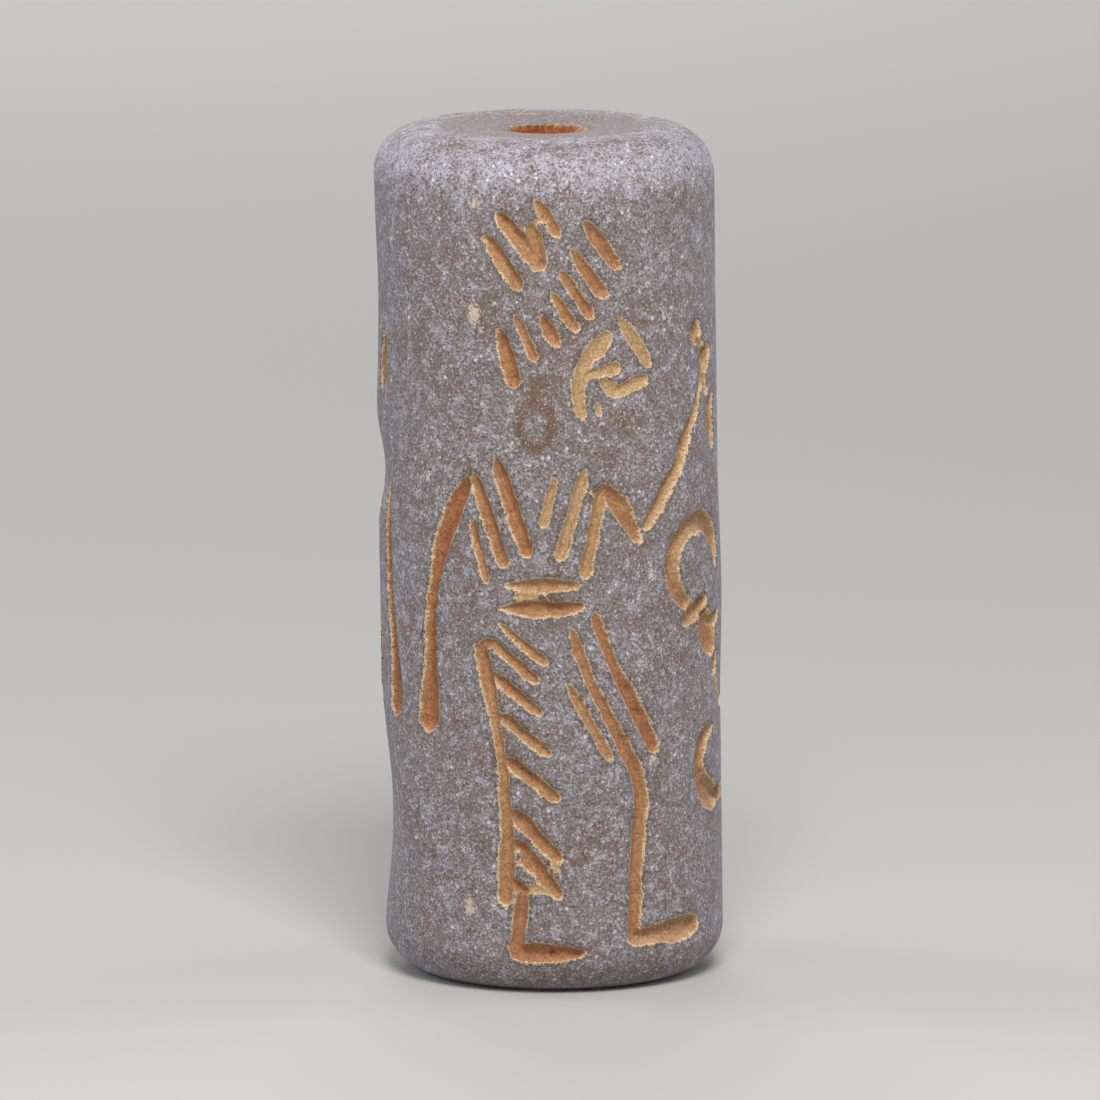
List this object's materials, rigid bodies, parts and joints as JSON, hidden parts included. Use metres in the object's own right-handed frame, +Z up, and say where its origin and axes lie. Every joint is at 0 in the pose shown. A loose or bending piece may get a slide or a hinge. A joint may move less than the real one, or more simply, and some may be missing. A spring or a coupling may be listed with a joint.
{
  "type": "cylinder seal",
  "caption": "Short stone roller with a lengthwise bore, its side engraved with a standing robed figure, a staff and a rearing horned beast.",
  "frame": {"origin": "centre of the underside that the seal stands on, at the middle of its bounding box", "axes": "+Z up along the seal from its underside to its top end; -Y towards the viewer of the standing figure; +X to that viewer's right"},
  "size_m": [0.0176, 0.017, 0.0426],
  "materials": {
    "engraved_stone": "matte, fine-grained grey stone with ochre-stained grooves"
  },
  "bodies": {
    "root": {"seal": "engraved_stone"}
  },
  "joints": []
}
